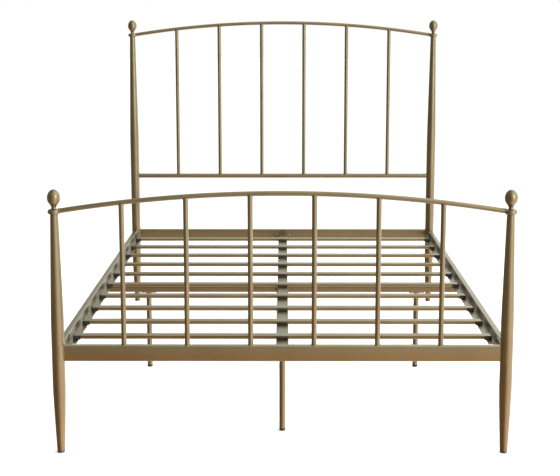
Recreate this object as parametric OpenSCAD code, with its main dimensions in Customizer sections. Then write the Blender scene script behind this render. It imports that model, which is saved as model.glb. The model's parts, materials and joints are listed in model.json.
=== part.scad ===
// Metal bed frame: arched headboard and footboard between tapered posts with egg
// finials, bolted side rails, and a slatted deck on a centre rail with five legs.
// Millimetres. +Z is up, +Y runs from the footboard to the headboard, and the
// origin is on the floor in the middle of the four posts.

/* [Overall] */
// Distance between post centres across the bed
post_pitch_x = 1400; // [1360:10:1560]
// Distance between post centres along the bed
post_pitch_y = 1940; // [1900:10:2060]
// Height of the middle of the footboard collars
foot_collar_z = 772; // [700:1:850]
// Height of the middle of the headboard collars
head_collar_z = 1268; // [1150:1:1350]
// Rise of both arch rails from their ends to mid span
arch_rise = 57; // [40:1:90]

/* [Posts] */
// Diameter of the straight middle part of a post
post_d = 40; // [36:1:42]
// Diameter of both tapered ends of a post
post_tip_d = 24; // [23:0.5:26]
// Wall of a post
post_wall = 1.5; // [1.2:0.1:2]
// Height at which the lower taper reaches the full diameter
lower_taper_z = 215; // [150:5:280]
// Length of the upper taper of a footboard post
foot_taper = 329; // [200:1:380]
// Length of the upper taper of a headboard post
head_taper = 470; // [300:1:600]
// Height of the glide under a post
glide_h = 5; // [4:0.5:8]

/* [Collars and finials] */
// Outer diameter of a collar
collar_d = 39; // [38:0.5:44]
// Thickness of a collar, and twice the radius of its round edge
collar_h = 16; // [15.5:0.5:17]
// Height of a finial above its collar
finial_h = 61; // [56:1:66]
// Largest diameter of a finial
finial_d = 40; // [36:1:44]
// Depth of the widest place below the tip
finial_belly = 26; // [22:1:30]
// Diameter of a finial's neck
neck_d = 15; // [13:1:17]
// Radius of the hollow curve between neck and collar
neck_cove = 4.5; // [3.5:0.5:4.5]
// Diameter of the stud that joins finial, collar and post
stud_d = 8; // [6:1:8]

/* [Round tubes] */
// Diameter of the arch rails
arch_d = 15; // [14.5:0.5:15]
// Diameter of the spindles
spindle_d = 16; // [15:0.5:16]
// Diameter of the headboard cross tube
cross_tube_d = 20; // [18:1:25]
// Height of the middle of the headboard cross tube
cross_tube_z = 608; // [560:1:680]
// Wall of the round tubes
tube_wall = 1.2; // [1:0.1:1.4]
// Spindles in each panel
spindle_count = 6; // [4:1:7]
// Distance between spindle centres
spindle_pitch = 197.5; // [160:0.5:200]

/* [Rails] */
// Height of the underside of the side and end rails
rail_z = 300; // [280:1:330]
// Height of the rail section
rail_h = 50; // [50:1:60]
// Thickness of the rail section
rail_t = 20; // [20:1:22]
// Wall of the rails and bars
rail_wall = 1.5; // [1.2:0.1:2]
// Thickness of the saddle plate between rail and post
saddle_t = 2; // [1.5:0.5:3]
// Half of the angle that a saddle plate covers on its post
saddle_half_angle = 74; // [66:1:80]
// Length of the bolting tab that stands off each saddle
tab_len = 100; // [98:1:120]

/* [Support base] */
// Width of the centre rail
center_rail_w = 40; // [40:1:60]
// Height of the centre rail
center_rail_h = 25; // [25:1:28]
// Width of the two cross bars
cross_bar_w = 30; // [30:1:40]
// Height of the two cross bars
cross_bar_h = 20; // [19:1:20]
// Place of the cross bars along the bed
cross_bar_y = -75; // [-80:1:-70]
// Distance of the front and rear centre legs from the middle of the bed
end_leg_y = 775; // [700:5:780]
// Distance of the side legs from the middle of the bed
side_leg_x = 520; // [400:5:560]
// Diameter of the legs
leg_d = 20; // [20:1:22]
// Width of the slat ledges
ledge_w = 28; // [26:1:32]
// Number of slats
slat_count = 10; // [8:1:10]
// Distance between slat centres
slat_pitch = 180; // [170:1:185]
// Width of a slat
slat_w = 30; // [25:1:40]
// Thickness of a slat
slat_h = 12; // [10:1:14]

/* [Feet] */
// Height of the pad of a levelling foot
foot_pad_h = 8; // [7:1:12]
// Length of the screw above the pad of a levelling foot
foot_screw_len = 32; // [30:1:40]

/* [Hidden] */
$fn = 64;
eps = 0.01;
half_x = post_pitch_x / 2;
half_y = post_pitch_y / 2;
post_r = post_d / 2;
saddle_r = post_r + saddle_t;
taper_steps = 10;
lower_taper_power = 1.2;
upper_taper_power = 1.08;
bore_slack = 0.05;
hole_slack = 0.2;

collar_edge_r = collar_h / 2;
collar_core_r = collar_d / 2 - collar_edge_r;
arch_trim_r = collar_core_r + 4;
arch_radius = (half_x * half_x + arch_rise * arch_rise) / (2 * arch_rise);
arch_half_angle = asin(half_x / arch_radius);
spindle_gap_to_arch = 4;

finial_swell = 1.33;
finial_steps = 12;
stud_reach = 18;
insert_len = 20;
glide_plug_len = 17;
glide_edge_r = 3;

ledge_t = 3;
deck_z = rail_z + center_rail_h;
rail_end_gap = 24;
tab_t = 4;
tab_margin = 3;
tab_x = half_x - rail_t / 2;
rail_bolt_z = rail_z + rail_h / 2;
rail_bolt_offsets = [45, 80];
bolt_r = 4;
bolt_head_r = 9;
bolt_head_h = 4.5;
washer_r = 8;
washer_t = 1.6;
nut_r = 7.5;
nut_h = 6.5;
bolt_tip = 2;

plate_t = 3;
screw_r = 3;
screw_head_r = 5.25;
screw_head_h = 3.3;
screw_len = 14;
socket_r = 2.3;
socket_depth = 2;
rivet_nut_r = 4.5;
rivet_nut_len = 12;
rivet_bulge_r = 6;
rivet_bulge_h = 3;
end_plate_w = 74;
end_plate_screw_x = 29;
bar_plate_w = 58;
bar_screw_y = 21;
leg_plate_len = 60;
leg_plate_screw = 22;
bar_z = deck_z - ledge_t - cross_bar_h;

cap_wall = 2;
cap_len = 24;
cap_end = 4;
cap_rim_drop = 0.5;
cap_end_x = half_x - rail_t / 2 - 10;
slat_end_x = cap_end_x - cap_end;
slat_z = deck_z + cap_wall;
peg_r = 4;
peg_len = ledge_t;
clip_len = 36;
clip_wall_h = 8;
slat_slack = 0.1;

leg_r = leg_d / 2;
foot_edge_r = 3;
foot_gap = 0.2;
leg_bottom_z = foot_pad_h + foot_gap;
foot_screw_r = 4;
leg_insert_len = 20;

gold = [0.60, 0.48, 0.28];
dark = [0.10, 0.10, 0.10];
zinc = [0.72, 0.72, 0.70];

PANELS = ["headboard", "footboard"];
SIDES = ["left", "right"];
LEGS = ["front", "middle", "rear"];

// Side, end and place of what repeats
function side(s) = s == "left" ? -1 : 1;
function leg_y(l) = l == "front" ? -end_leg_y : l == "rear" ? end_leg_y : cross_bar_y;
function spindle_x(i) = (i - (spindle_count + 1) / 2) * spindle_pitch;
function slat_y(i) = (i - (slat_count + 1) / 2) * slat_pitch;
function arch_z(x, collar_z) = collar_z + arch_rise - arch_radius + sqrt(arch_radius * arch_radius - x * x);

// Share of the full radius that a taper has gained at t, from 0 at its tip to 1
function taper(t, power) = 1 - pow(1 - t, power);
function taper_r(t, power) = post_tip_d / 2 + (post_r - post_tip_d / 2) * taper(t, power);
function post_line(top_z, upper, inset) = concat(
    [for (k = [0:taper_steps]) let (t = k / taper_steps)
        [taper_r(t, lower_taper_power) - inset, glide_h + t * (lower_taper_z - glide_h)]],
    [for (k = [0:taper_steps]) let (t = 1 - k / taper_steps)
        [taper_r(t, upper_taper_power) - inset, top_z - t * upper]]
);

// Radius of a finial at the depth h below its tip: half an ellipse, then a swept-in waist
neck_depth = finial_h - neck_cove;
function belly_r(h) = finial_d / 2 * sqrt(1 - pow((finial_belly - h) / finial_belly, 2));
function waist_t(h) = pow((h - finial_belly) / (neck_depth - finial_belly), finial_swell);
function waist_r(h) = neck_d / 2 + (finial_d - neck_d) / 4 * (1 + cos(180 * waist_t(h)));
finial_line = concat(
    [for (k = [0:finial_steps]) let (h = finial_belly * (1 - cos(90 * k / finial_steps))) [belly_r(h), -h]],
    [for (k = [1:finial_steps]) let (h = finial_belly + (neck_depth - finial_belly) * k / finial_steps)
        [waist_r(h), -h]],
    [for (a = [15:15:90]) [neck_d / 2 + neck_cove * (1 - cos(a)), -neck_depth - neck_cove * sin(a)]],
    [[0, -finial_h]]
);

// Places its children on the floor at the four posts
module at_posts() {
    for (x = [-half_x, half_x], y = [-half_y, half_y]) translate([x, y, 0]) children();
}

// Places its children at the middle of the four collars
module at_post_tops() {
    for (x = [-half_x, half_x]) {
        translate([x, -half_y, foot_collar_z]) children();
        translate([x, half_y, head_collar_z]) children();
    }
}

module round_tube(r, h, wall = tube_wall) {
    difference() {
        cylinder(r = r, h = h);
        translate([0, 0, -eps]) cylinder(r = r - wall, h = h + 2 * eps);
    }
}

// Rectangular tube, open at the ends of its longest side, centred in X and Y, on z = 0
module box_tube(size, open_axis) {
    grow = [for (i = [0:2]) i == open_axis ? 2 : -2 * rail_wall];
    translate([0, 0, size[2] / 2]) difference() {
        cube(size, center = true);
        cube(size + grow, center = true);
    }
}

module post(top_z, upper) {
    outer = post_line(top_z, upper, 0);
    inner = post_line(top_z, upper, post_wall);
    color(gold) rotate_extrude()
        polygon(concat(outer, [for (i = [len(inner) - 1:-1:0]) inner[i]]));
}

// Solid of a collar without its bore, centred on its middle height
module collar_body() {
    rotate_extrude() union() {
        translate([0, -collar_edge_r]) square([collar_core_r, collar_h]);
        intersection() {
            translate([collar_core_r, 0]) circle(r = collar_edge_r);
            translate([collar_core_r - eps, -collar_h]) square(2 * collar_h);
        }
    }
}

module collar() {
    color(gold) difference() {
        collar_body();
        translate([0, 0, -collar_h]) cylinder(d = stud_d + 2 * hole_slack, h = 2 * collar_h);
    }
}

module finial() {
    color(gold) difference() {
        translate([0, 0, finial_h]) rotate_extrude() polygon(finial_line);
        translate([0, 0, -eps]) cylinder(d = stud_d + 2 * bore_slack, h = stud_reach + 2);
    }
}

module finial_stud() {
    bottom = -collar_edge_r - stud_reach;
    color(zinc) translate([0, 0, bottom]) cylinder(d = stud_d, h = collar_h + 2 * stud_reach);
}

module post_top_insert() {
    r = post_tip_d / 2 - post_wall - bore_slack;
    color(zinc) translate([0, 0, -collar_edge_r - insert_len]) difference() {
        cylinder(r = r, h = insert_len);
        translate([0, 0, -eps]) cylinder(d = stud_d + 2 * bore_slack, h = insert_len + 2 * eps);
    }
}

// Ring section that sweeps along the arc of an arch rail, in the plane of its panel
module arch_sweep(r) {
    rotate([90, 0, 0]) rotate([0, 0, 90 - arch_half_angle])
        rotate_extrude(angle = 2 * arch_half_angle, $fn = 720)
            translate([arch_radius, 0]) circle(r = r, $fn = 48);
}

module arch_rail(collar_z) {
    color(gold) difference() {
        translate([0, 0, collar_z + arch_rise - arch_radius]) difference() {
            arch_sweep(arch_d / 2);
            arch_sweep(arch_d / 2 - tube_wall);
        }
        for (x = [-half_x, half_x]) translate([x, 0, collar_z]) {
            collar_body();
            translate([0, 0, -2 * collar_h]) cylinder(r = arch_trim_r, h = 4 * collar_h);
        }
    }
}

// Spindle from bottom_z up to its arch rail, shaped to sit against the round underside
module spindle(x, bottom_z, collar_z) {
    top = arch_z(x, collar_z) - spindle_gap_to_arch;
    color(gold) difference() {
        translate([x, 0, bottom_z]) round_tube(spindle_d / 2, top - bottom_z);
        translate([0, 0, collar_z + arch_rise - arch_radius]) arch_sweep(arch_d / 2);
        if (bottom_z == cross_tube_z) lying_bar(cross_tube_d / 2);
    }
}

module lying_bar(r) {
    translate([-half_x, 0, cross_tube_z]) rotate([0, 90, 0]) cylinder(r = r, h = post_pitch_x);
}

module cross_tube() {
    color(gold) difference() {
        lying_bar(cross_tube_d / 2);
        lying_bar(cross_tube_d / 2 - tube_wall);
        for (x = [-half_x, half_x]) translate([x, 0, cross_tube_z - cross_tube_d])
            cylinder(r = post_r, h = 2 * cross_tube_d);
    }
}

// Footboard or headboard bottom rail; inner is the direction of its inner face along Y
module end_rail(inner) {
    color(gold) difference() {
        translate([0, 0, rail_z]) box_tube([post_pitch_x, rail_t, rail_h], 0);
        for (x = [-half_x, half_x]) translate([x, 0, rail_z - 1]) cylinder(r = saddle_r, h = rail_h + 2);
        for (x = [-end_plate_screw_x, end_plate_screw_x]) translate([x, inner * rail_t / 2, rail_bolt_z])
            face([0, inner, 0]) rivet_hole();
    }
}

module side_rail(s) {
    color(gold) difference() {
        translate([s * half_x, 0, rail_z]) box_tube([rail_t, post_pitch_y - 2 * rail_end_gap, rail_h], 1);
        at_rail_bolts() translate([-rail_t, 0, 0]) rotate([0, 90, 0])
            cylinder(r = bolt_r + hole_slack, h = 2 * rail_t);
        at_screws(bar_outer_sites) rivet_hole();
    }
}

// Plate bent around the inner half of each post, where the rails are welded on
module rail_saddle() {
    color(gold) rotate([0, 0, -saddle_half_angle]) rotate_extrude(angle = 2 * saddle_half_angle)
        translate([post_r, 0]) square([saddle_t, rail_h]);
}

module rail_tab(sx, sy) {
    color(gold) difference() {
        translate([sx * (tab_x - tab_t / 2), sy * (half_y - tab_len / 2), rail_z + rail_h / 2])
            cube([tab_t, tab_len, rail_h - 2 * tab_margin], center = true);
        translate([sx * half_x, sy * half_y, rail_z - 1]) cylinder(r = saddle_r, h = rail_h + 2);
        at_rail_bolts() translate([-rail_t, 0, 0]) rotate([0, 90, 0])
            cylinder(r = bolt_r + hole_slack, h = 2 * rail_t);
    }
}

// Places its children on every rail bolt's axis, at the middle of the side rail,
// with local +X pointing away from the bed
module at_rail_bolts() {
    for (sx = [-1, 1], sy = [-1, 1], offset = rail_bolt_offsets)
        translate([sx * half_x, sy * (half_y - offset), rail_bolt_z])
            rotate([0, 0, sx > 0 ? 0 : 180]) children();
}

module rail_bolt() {
    tip = rail_t / 2 + tab_t + washer_t + nut_h + bolt_tip;
    dome_r = (bolt_head_r * bolt_head_r + bolt_head_h * bolt_head_h) / (2 * bolt_head_h);
    color(zinc) {
        translate([-tip, 0, 0]) rotate([0, 90, 0])
            cylinder(r = bolt_r, h = tip + rail_t / 2 + bolt_head_h / 2);
        translate([rail_t / 2, 0, 0]) rotate([0, 90, 0]) rotate_extrude() intersection() {
            translate([0, bolt_head_h - dome_r]) circle(r = dome_r);
            square([bolt_head_r + 1, bolt_head_h + 1]);
        }
    }
}

module rail_washer() {
    color(zinc) translate([-rail_t / 2 - tab_t - washer_t, 0, 0]) rotate([0, 90, 0]) difference() {
        cylinder(r = washer_r, h = washer_t);
        translate([0, 0, -1]) cylinder(r = bolt_r + hole_slack, h = washer_t + 2);
    }
}

module rail_nut() {
    color(zinc) translate([-rail_t / 2 - tab_t - washer_t - nut_h, 0, 0]) rotate([0, 90, 0]) difference() {
        cylinder(r = nut_r, h = nut_h, $fn = 6);
        translate([0, 0, -1]) cylinder(r = bolt_r + bore_slack, h = nut_h + 2);
    }
}

// Screw sites: a point on the wall's face, then the face's outward direction
end_plate_sites = [for (sy = [-1, 1], x = [-end_plate_screw_x, end_plate_screw_x])
    [[x, sy * (half_y - rail_t / 2), rail_bolt_z], [0, -sy, 0]]];
bar_outer_sites = [for (sx = [-1, 1], k = [-1, 1])
    [[sx * tab_x, cross_bar_y + k * bar_screw_y, bar_z + cross_bar_h / 2], [-sx, 0, 0]]];
bar_inner_sites = [for (sx = [-1, 1], k = [-1, 1])
    [[sx * center_rail_w / 2, cross_bar_y + k * bar_screw_y, bar_z + cross_bar_h / 2], [sx, 0, 0]]];
center_leg_sites = [for (l = LEGS, k = [-1, 1]) [[0, leg_y(l) + k * leg_plate_screw, rail_z], [0, 0, -1]]];
side_leg_sites = [for (sx = [-1, 1], k = [-1, 1])
    [[sx * side_leg_x + k * leg_plate_screw, cross_bar_y, bar_z], [0, 0, -1]]];
all_sites = concat(end_plate_sites, bar_outer_sites, bar_inner_sites, center_leg_sites, side_leg_sites);

// Turns local +Z to the direction d, which lies along an axis
module face(d) {
    rotate(d[2] < 0 ? [180, 0, 0] : [-90 * d[1], 90 * d[0], 0]) children();
}

module at_screws(sites) {
    for (site = sites) translate(site[0]) face(site[1]) children();
}

module rivet_hole() {
    translate([0, 0, -2 * rail_wall]) cylinder(r = rivet_nut_r + bore_slack, h = 4 * rail_wall);
}

module screw_hole() {
    translate([0, 0, -1]) cylinder(r = screw_r + hole_slack, h = plate_t + 2);
}

// Threaded rivet nut: flush with the wall, with its upset bulge behind the wall
module rivet_nut() {
    color(zinc) difference() {
        union() {
            translate([0, 0, -rivet_nut_len]) cylinder(r = rivet_nut_r, h = rivet_nut_len);
            translate([0, 0, -rail_wall - rivet_bulge_h - hole_slack])
                cylinder(r = rivet_bulge_r, h = rivet_bulge_h);
        }
        translate([0, 0, -rivet_nut_len - 1]) cylinder(r = screw_r + bore_slack, h = rivet_nut_len + 2);
    }
}

module frame_screw() {
    color(zinc) translate([0, 0, plate_t]) difference() {
        union() {
            translate([0, 0, -screw_len]) cylinder(r = screw_r, h = screw_len + 1);
            intersection() {
                cylinder(r = screw_head_r, h = screw_head_h);
                translate([0, 0, screw_head_h - screw_head_r * 1.2]) sphere(r = screw_head_r * 1.2);
            }
        }
        translate([0, 0, screw_head_h - socket_depth]) cylinder(r = socket_r, h = socket_depth + 1, $fn = 6);
    }
}

module center_rail() {
    length = post_pitch_y - rail_t - 2 * plate_t;
    color(gold) difference() {
        union() {
            translate([0, 0, rail_z]) box_tube([center_rail_w, length, center_rail_h], 1);
            for (sy = [-1, 1]) translate([0, sy * (length + plate_t) / 2, rail_z + rail_h / 2])
                cube([end_plate_w, plate_t, rail_h - 2 * tab_margin], center = true);
        }
        at_screws(end_plate_sites) screw_hole();
        at_screws(bar_inner_sites) rivet_hole();
        at_screws(center_leg_sites) rivet_hole();
        for (i = [1:slat_count]) translate([0, slat_y(i), deck_z - 2 * rail_wall])
            cylinder(r = peg_r + hole_slack, h = 4 * rail_wall);
    }
}

module cross_bar(s) {
    inner_x = center_rail_w / 2;
    outer_x = tab_x;
    span = outer_x - inner_x;
    color(gold) difference() {
        union() {
            translate([s * (inner_x + outer_x) / 2, cross_bar_y, bar_z])
                box_tube([span - 2 * plate_t, cross_bar_w, cross_bar_h], 0);
            for (x = [inner_x + plate_t / 2, outer_x - plate_t / 2])
                translate([s * x, cross_bar_y, bar_z + cross_bar_h / 2])
                    cube([plate_t, bar_plate_w, cross_bar_h], center = true);
        }
        at_screws(bar_outer_sites) screw_hole();
        at_screws(bar_inner_sites) screw_hole();
        at_screws(side_leg_sites) rivet_hole();
    }
}

// Ledge welded inside a side rail, drilled for the pegs of the slat end caps
module slat_ledge(s) {
    length = post_pitch_y - 2 * tab_len - 10;
    color(gold) difference() {
        translate([s * (tab_x - ledge_w / 2), 0, deck_z - ledge_t / 2])
            cube([ledge_w, length, ledge_t], center = true);
        for (i = [1:slat_count]) translate([s * (cap_end_x - cap_len / 3), slat_y(i), deck_z - 2 * ledge_t])
            cylinder(r = peg_r + hole_slack, h = 4 * ledge_t);
    }
}

module slat() {
    color(gold) translate([0, 0, slat_z]) difference() {
        translate([0, 0, slat_h / 2]) cube([2 * slat_end_x, slat_w, slat_h], center = true);
        translate([0, 0, slat_h / 2])
            cube([2 * slat_end_x + 2, slat_w - 2 * tube_wall, slat_h - 2 * tube_wall], center = true);
    }
}

// Moulded cap on the +X end of a slat, open above, with a peg that drops into the ledge
module slat_end_cap() {
    outer = [cap_len, slat_w + 2 * cap_wall, cap_wall + slat_h - cap_rim_drop];
    pocket = [cap_len, slat_w + 2 * slat_slack, 2 * slat_h];
    color(dark) difference() {
        union() {
            translate([cap_end_x - cap_len / 2, 0, deck_z + outer[2] / 2]) cube(outer, center = true);
            translate([cap_end_x - cap_len / 3, 0, deck_z - peg_len]) cylinder(r = peg_r, h = peg_len + 1);
        }
        translate([cap_end_x - cap_len / 2 - cap_end, 0, slat_z - slat_slack + slat_h]) cube(pocket, center = true);
    }
}

// Moulded clip between a slat and the centre rail
module slat_center_clip() {
    wall_y = slat_w / 2 + slat_slack;
    color(dark) {
        translate([0, 0, deck_z + cap_wall / 2])
            cube([clip_len, 2 * (wall_y + cap_wall), cap_wall], center = true);
        for (k = [-1, 1]) translate([0, k * (wall_y + cap_wall / 2), deck_z + clip_wall_h / 2])
            cube([clip_len, cap_wall, clip_wall_h], center = true);
        translate([0, 0, deck_z - peg_len]) cylinder(r = peg_r, h = peg_len + 1);
    }
}

// Support leg under a plate at top_z; along is 0 for a plate along X and 1 along Y
module leg(top_z, along) {
    size = along == 0 ? [leg_plate_len, cross_bar_w - 4, plate_t]
        : [center_rail_w - 4, leg_plate_len, plate_t];
    shift = along == 0 ? [leg_plate_screw, 0, 0] : [0, leg_plate_screw, 0];
    color(gold) {
        translate([0, 0, leg_bottom_z]) round_tube(leg_r, top_z - plate_t - leg_bottom_z, rail_wall);
        difference() {
            translate([0, 0, top_z - plate_t / 2]) cube(size, center = true);
            for (k = [-1, 1]) translate(k * shift + [0, 0, top_z - plate_t]) screw_hole();
        }
    }
}

module leg_insert() {
    color(zinc) translate([0, 0, leg_bottom_z]) difference() {
        cylinder(r = leg_r - rail_wall - bore_slack, h = leg_insert_len);
        translate([0, 0, -1]) cylinder(r = foot_screw_r + 2 * bore_slack, h = leg_insert_len + 2);
    }
}

// Round pad with a radiused lower edge, from z = 0 up
module round_pad(r, h, edge) {
    rotate_extrude() union() {
        translate([0, edge]) square([r, h - edge]);
        square([r - edge, edge + eps]);
        intersection() {
            translate([r - edge, edge]) circle(r = edge);
            translate([r - edge - eps, 0]) square([edge + eps, edge + eps]);
        }
    }
}

module leveling_foot() {
    color(dark) round_pad(leg_r, foot_pad_h, foot_edge_r);
    color(zinc) translate([0, 0, foot_pad_h - 1]) cylinder(r = foot_screw_r, h = foot_screw_len + 1);
}

module post_glide() {
    plug_r = post_tip_d / 2 - post_wall - hole_slack;
    color(dark) {
        round_pad(post_tip_d / 2 - 0.4, glide_h, glide_edge_r);
        translate([0, 0, glide_h - 1]) cylinder(r = plug_r, h = glide_plug_len + 1);
    }
}

module at_legs() {
    for (l = LEGS) translate([0, leg_y(l), 0]) children();
    for (s = [-1, 1]) translate([s * side_leg_x, cross_bar_y, 0]) children();
}

// Place of a panel's left or right post on the floor
function head_post(s) = [side(s) * half_x, half_y, 0];
function foot_post(s) = [side(s) * half_x, -half_y, 0];
up_to_finial = [0, 0, collar_edge_r];
head_collar = [0, 0, head_collar_z];
foot_collar = [0, 0, foot_collar_z];
head_line = [0, half_y, 0];
foot_line = [0, -half_y, 0];
function leg_place(l) = [0, leg_y(l), 0];
function side_leg_place(s) = [side(s) * side_leg_x, cross_bar_y, 0];

module headboard_post(s) { translate(head_post(s)) post(head_collar_z - collar_edge_r, head_taper); }
module headboard_collar(s) { translate(head_post(s) + head_collar) collar(); }
module headboard_finial(s) { translate(head_post(s) + head_collar + up_to_finial) finial(); }
module headboard_spindle(i) { translate(head_line) spindle(spindle_x(i), cross_tube_z, head_collar_z); }
module headboard_arch_rail() { translate(head_line) arch_rail(head_collar_z); }
module headboard_cross_tube() { translate(head_line) cross_tube(); }
module headboard_bottom_rail() { translate(head_line) end_rail(-1); }

module footboard_post(s) { translate(foot_post(s)) post(foot_collar_z - collar_edge_r, foot_taper); }
module footboard_collar(s) { translate(foot_post(s) + foot_collar) collar(); }
module footboard_finial(s) { translate(foot_post(s) + foot_collar + up_to_finial) finial(); }
module footboard_spindle(i) { translate(foot_line) spindle(spindle_x(i), rail_z + rail_h, foot_collar_z); }
module footboard_arch_rail() { translate(foot_line) arch_rail(foot_collar_z); }
module footboard_bottom_rail() { translate(foot_line) end_rail(1); }

module center_leg(l) { translate(leg_place(l)) leg(rail_z, 1); }
module side_leg(s) { translate(side_leg_place(s)) leg(bar_z, 0); }

module slats() { for (i = [1:slat_count]) translate([0, slat_y(i), 0]) slat(); }
module slat_center_clips() { for (i = [1:slat_count]) translate([0, slat_y(i), 0]) slat_center_clip(); }
module slat_end_caps() {
    for (i = [1:slat_count], k = [0, 1]) translate([0, slat_y(i), 0]) mirror([k, 0, 0]) slat_end_cap();
}
module rail_saddles() {
    for (sx = [-1, 1], sy = [-1, 1])
        translate([sx * half_x, sy * half_y, rail_z]) rotate([0, 0, sx < 0 ? 0 : 180]) rail_saddle();
}
module rail_tabs() { for (sx = [-1, 1], sy = [-1, 1]) rail_tab(sx, sy); }

for (s = SIDES) {
    headboard_post(s);
    headboard_collar(s);
    headboard_finial(s);
    footboard_post(s);
    footboard_collar(s);
    footboard_finial(s);
    side_rail(side(s));
    slat_ledge(side(s));
    cross_bar(side(s));
    side_leg(s);
    translate(side_leg_place(s)) leveling_foot();
}
for (i = [1:spindle_count]) {
    headboard_spindle(i);
    footboard_spindle(i);
}
for (l = LEGS) {
    center_leg(l);
    translate(leg_place(l)) leveling_foot();
}
headboard_arch_rail();
headboard_cross_tube();
headboard_bottom_rail();
footboard_arch_rail();
footboard_bottom_rail();
center_rail();
slats();
slat_end_caps();
slat_center_clips();
at_posts() post_glide();  // post_glides
rail_saddles();
rail_tabs();
at_post_tops() finial_stud();  // finial_studs
at_post_tops() post_top_insert();  // post_top_inserts
at_legs() leg_insert();  // leg_inserts
at_rail_bolts() rail_bolt();  // rail_bolts
at_rail_bolts() rail_washer();  // rail_washers
at_rail_bolts() rail_nut();  // rail_nuts
at_screws(all_sites) frame_screw();  // frame_screws
at_screws(all_sites) rivet_nut();  // rivet_nuts
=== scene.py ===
"""Looks of the metal bed frame: turned posts and finials, welded tubes, a slatted deck, its hardware,
and a plain white studio."""

import json
import math

import bmesh
import bpy
from mathutils import Matrix, Vector


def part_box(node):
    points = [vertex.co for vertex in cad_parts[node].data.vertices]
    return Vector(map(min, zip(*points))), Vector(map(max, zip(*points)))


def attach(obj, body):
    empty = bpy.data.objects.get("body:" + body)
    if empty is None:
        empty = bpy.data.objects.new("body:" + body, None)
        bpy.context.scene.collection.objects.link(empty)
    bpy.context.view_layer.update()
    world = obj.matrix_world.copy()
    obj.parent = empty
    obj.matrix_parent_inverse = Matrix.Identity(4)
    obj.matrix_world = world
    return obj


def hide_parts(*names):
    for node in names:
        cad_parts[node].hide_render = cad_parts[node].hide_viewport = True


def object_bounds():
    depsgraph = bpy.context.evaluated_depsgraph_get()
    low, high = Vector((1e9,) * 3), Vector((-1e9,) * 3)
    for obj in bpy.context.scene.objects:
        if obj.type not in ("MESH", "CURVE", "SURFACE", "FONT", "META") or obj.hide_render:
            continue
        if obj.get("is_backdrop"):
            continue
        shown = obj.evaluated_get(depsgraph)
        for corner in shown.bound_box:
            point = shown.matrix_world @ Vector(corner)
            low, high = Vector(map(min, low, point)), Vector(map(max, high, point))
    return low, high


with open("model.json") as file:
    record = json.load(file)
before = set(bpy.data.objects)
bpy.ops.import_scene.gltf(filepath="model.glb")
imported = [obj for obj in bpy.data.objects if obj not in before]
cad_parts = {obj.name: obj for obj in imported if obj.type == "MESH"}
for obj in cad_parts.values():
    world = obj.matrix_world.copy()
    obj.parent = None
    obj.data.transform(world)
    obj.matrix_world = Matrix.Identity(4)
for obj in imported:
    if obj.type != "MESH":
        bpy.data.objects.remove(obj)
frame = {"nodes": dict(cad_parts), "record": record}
cad_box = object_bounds()
nodes = frame["nodes"]

# ---------------------------------------------------------------- driving dimensions, in metres

# Posts, collars and finials
POST_TIP_R = 0.012
LOWER_TAPER_TOP = 0.215
LOWER_POWER = 1.2
UPPER_POWER = 1.08
UPPER_TAPER = {"footboard": 0.329, "headboard": 0.470}
FINIAL_TIP_R = 0.0004
FINIAL_BELLY = 0.026
FINIAL_SWELL = 1.33
NECK_R = 0.0075
NECK_COVE = 0.0045

# Arches, spindles, rails and their plates
ARCH_RISE = 0.057
ARCH_TUBE_R = 0.0075
SPINDLE_LIP = 0.004
RAIL_WALL = 0.0015
RAIL_CORNER_R = 0.0025
CENTER_RAIL_WIDTH = 0.040
CROSS_BAR_WIDTH = 0.030
PLATE = 0.003
SADDLE = 0.002
SADDLE_HALF_ANGLE = math.radians(74)
TAB = 0.004

# Slats and their mouldings; a rib is its width and how far it stands out
SLAT_COUNT = 10
SLAT_WIDTH = 0.030
SLAT_WALL = 0.0012
SLAT_CORNER_R = 0.002
CAP_LENGTH = 0.024
CAP_WALL = 0.002
CAP_END = 0.004
CAP_RIB = (0.002, 0.0008)
CAP_RIB_PITCH = 0.006
CLIP_WALL_HEIGHT = 0.008
CLIP_RIB = (0.002, 0.0012)
CLIP_RIB_PITCH = 0.012
PEG_R = 0.004
PEG_EDGE = 0.0006

# Rail bolts; dome and rim are shares of the head's height, and flare is a share of the socket's radius
RAIL_BOLT_OFFSETS = (0.045, 0.080)
BOLT_HEAD_R = 0.009
BOLT_DOME = 0.93
BOLT_RIM = 0.97
BOLT_RIM_FLARE = 1.12
BOLT_RIM_STEP = 0.0002
BOLT_SOCKET_R = 0.0029
BOLT_SOCKET_DEPTH = 0.0024
BOLT_SHANK_R = 0.004
BOLT_SUNK = 0.0005
THREAD_PITCH = 0.00125
THREAD_DEPTH = 0.0004

# Levelling feet; the grips stop short of the rounded edge and the top, and are a share of the radius deep
FOOT_EDGE_R = 0.003
FOOT_PAD_HEIGHT = 0.008
FOOT_TOP_EDGE = 0.0005
GRIP_ABOVE_EDGE = 0.0006
GRIP_BELOW_TOP = 0.0012
GRIP_DEPTH = 0.025
SCREW_SUNK = 0.001

# Weld beads; an open bead starts at a share of its radius and is full after some rings
BEAD_R = 0.0013
SADDLE_BEAD_R = 0.0011
RAIL_BEAD_R = 0.0012
TAB_BEAD_R = 0.0012
LEDGE_BEAD_R = 0.0022
BAR_BEAD_R = 0.0011
BEAD_RIPPLE = 0.12
BEAD_POOL = 0.002
BEAD_TIP = 0.2
BEAD_TIP_RINGS = 3
BEAD_OUTSET = 0.0005
TAB_BEAD_GAP = 0.001
STITCH_LENGTH = 0.030
STITCH_PITCH = 0.150

# Edges
STEEL_EDGE = 0.0005
LEDGE_EDGE = 0.0008
MOULDING_EDGE = 0.0004
SHARP_ANGLE = math.radians(40)
CAD_SEAM = 0.00001

# Flats round a turned part, a plain tube and a weld bead
TURNED_SIDES = 64
TUBE_SIDES = 32
BEAD_SIDES = 8

# ---------------------------------------------------------------- finishes

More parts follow.
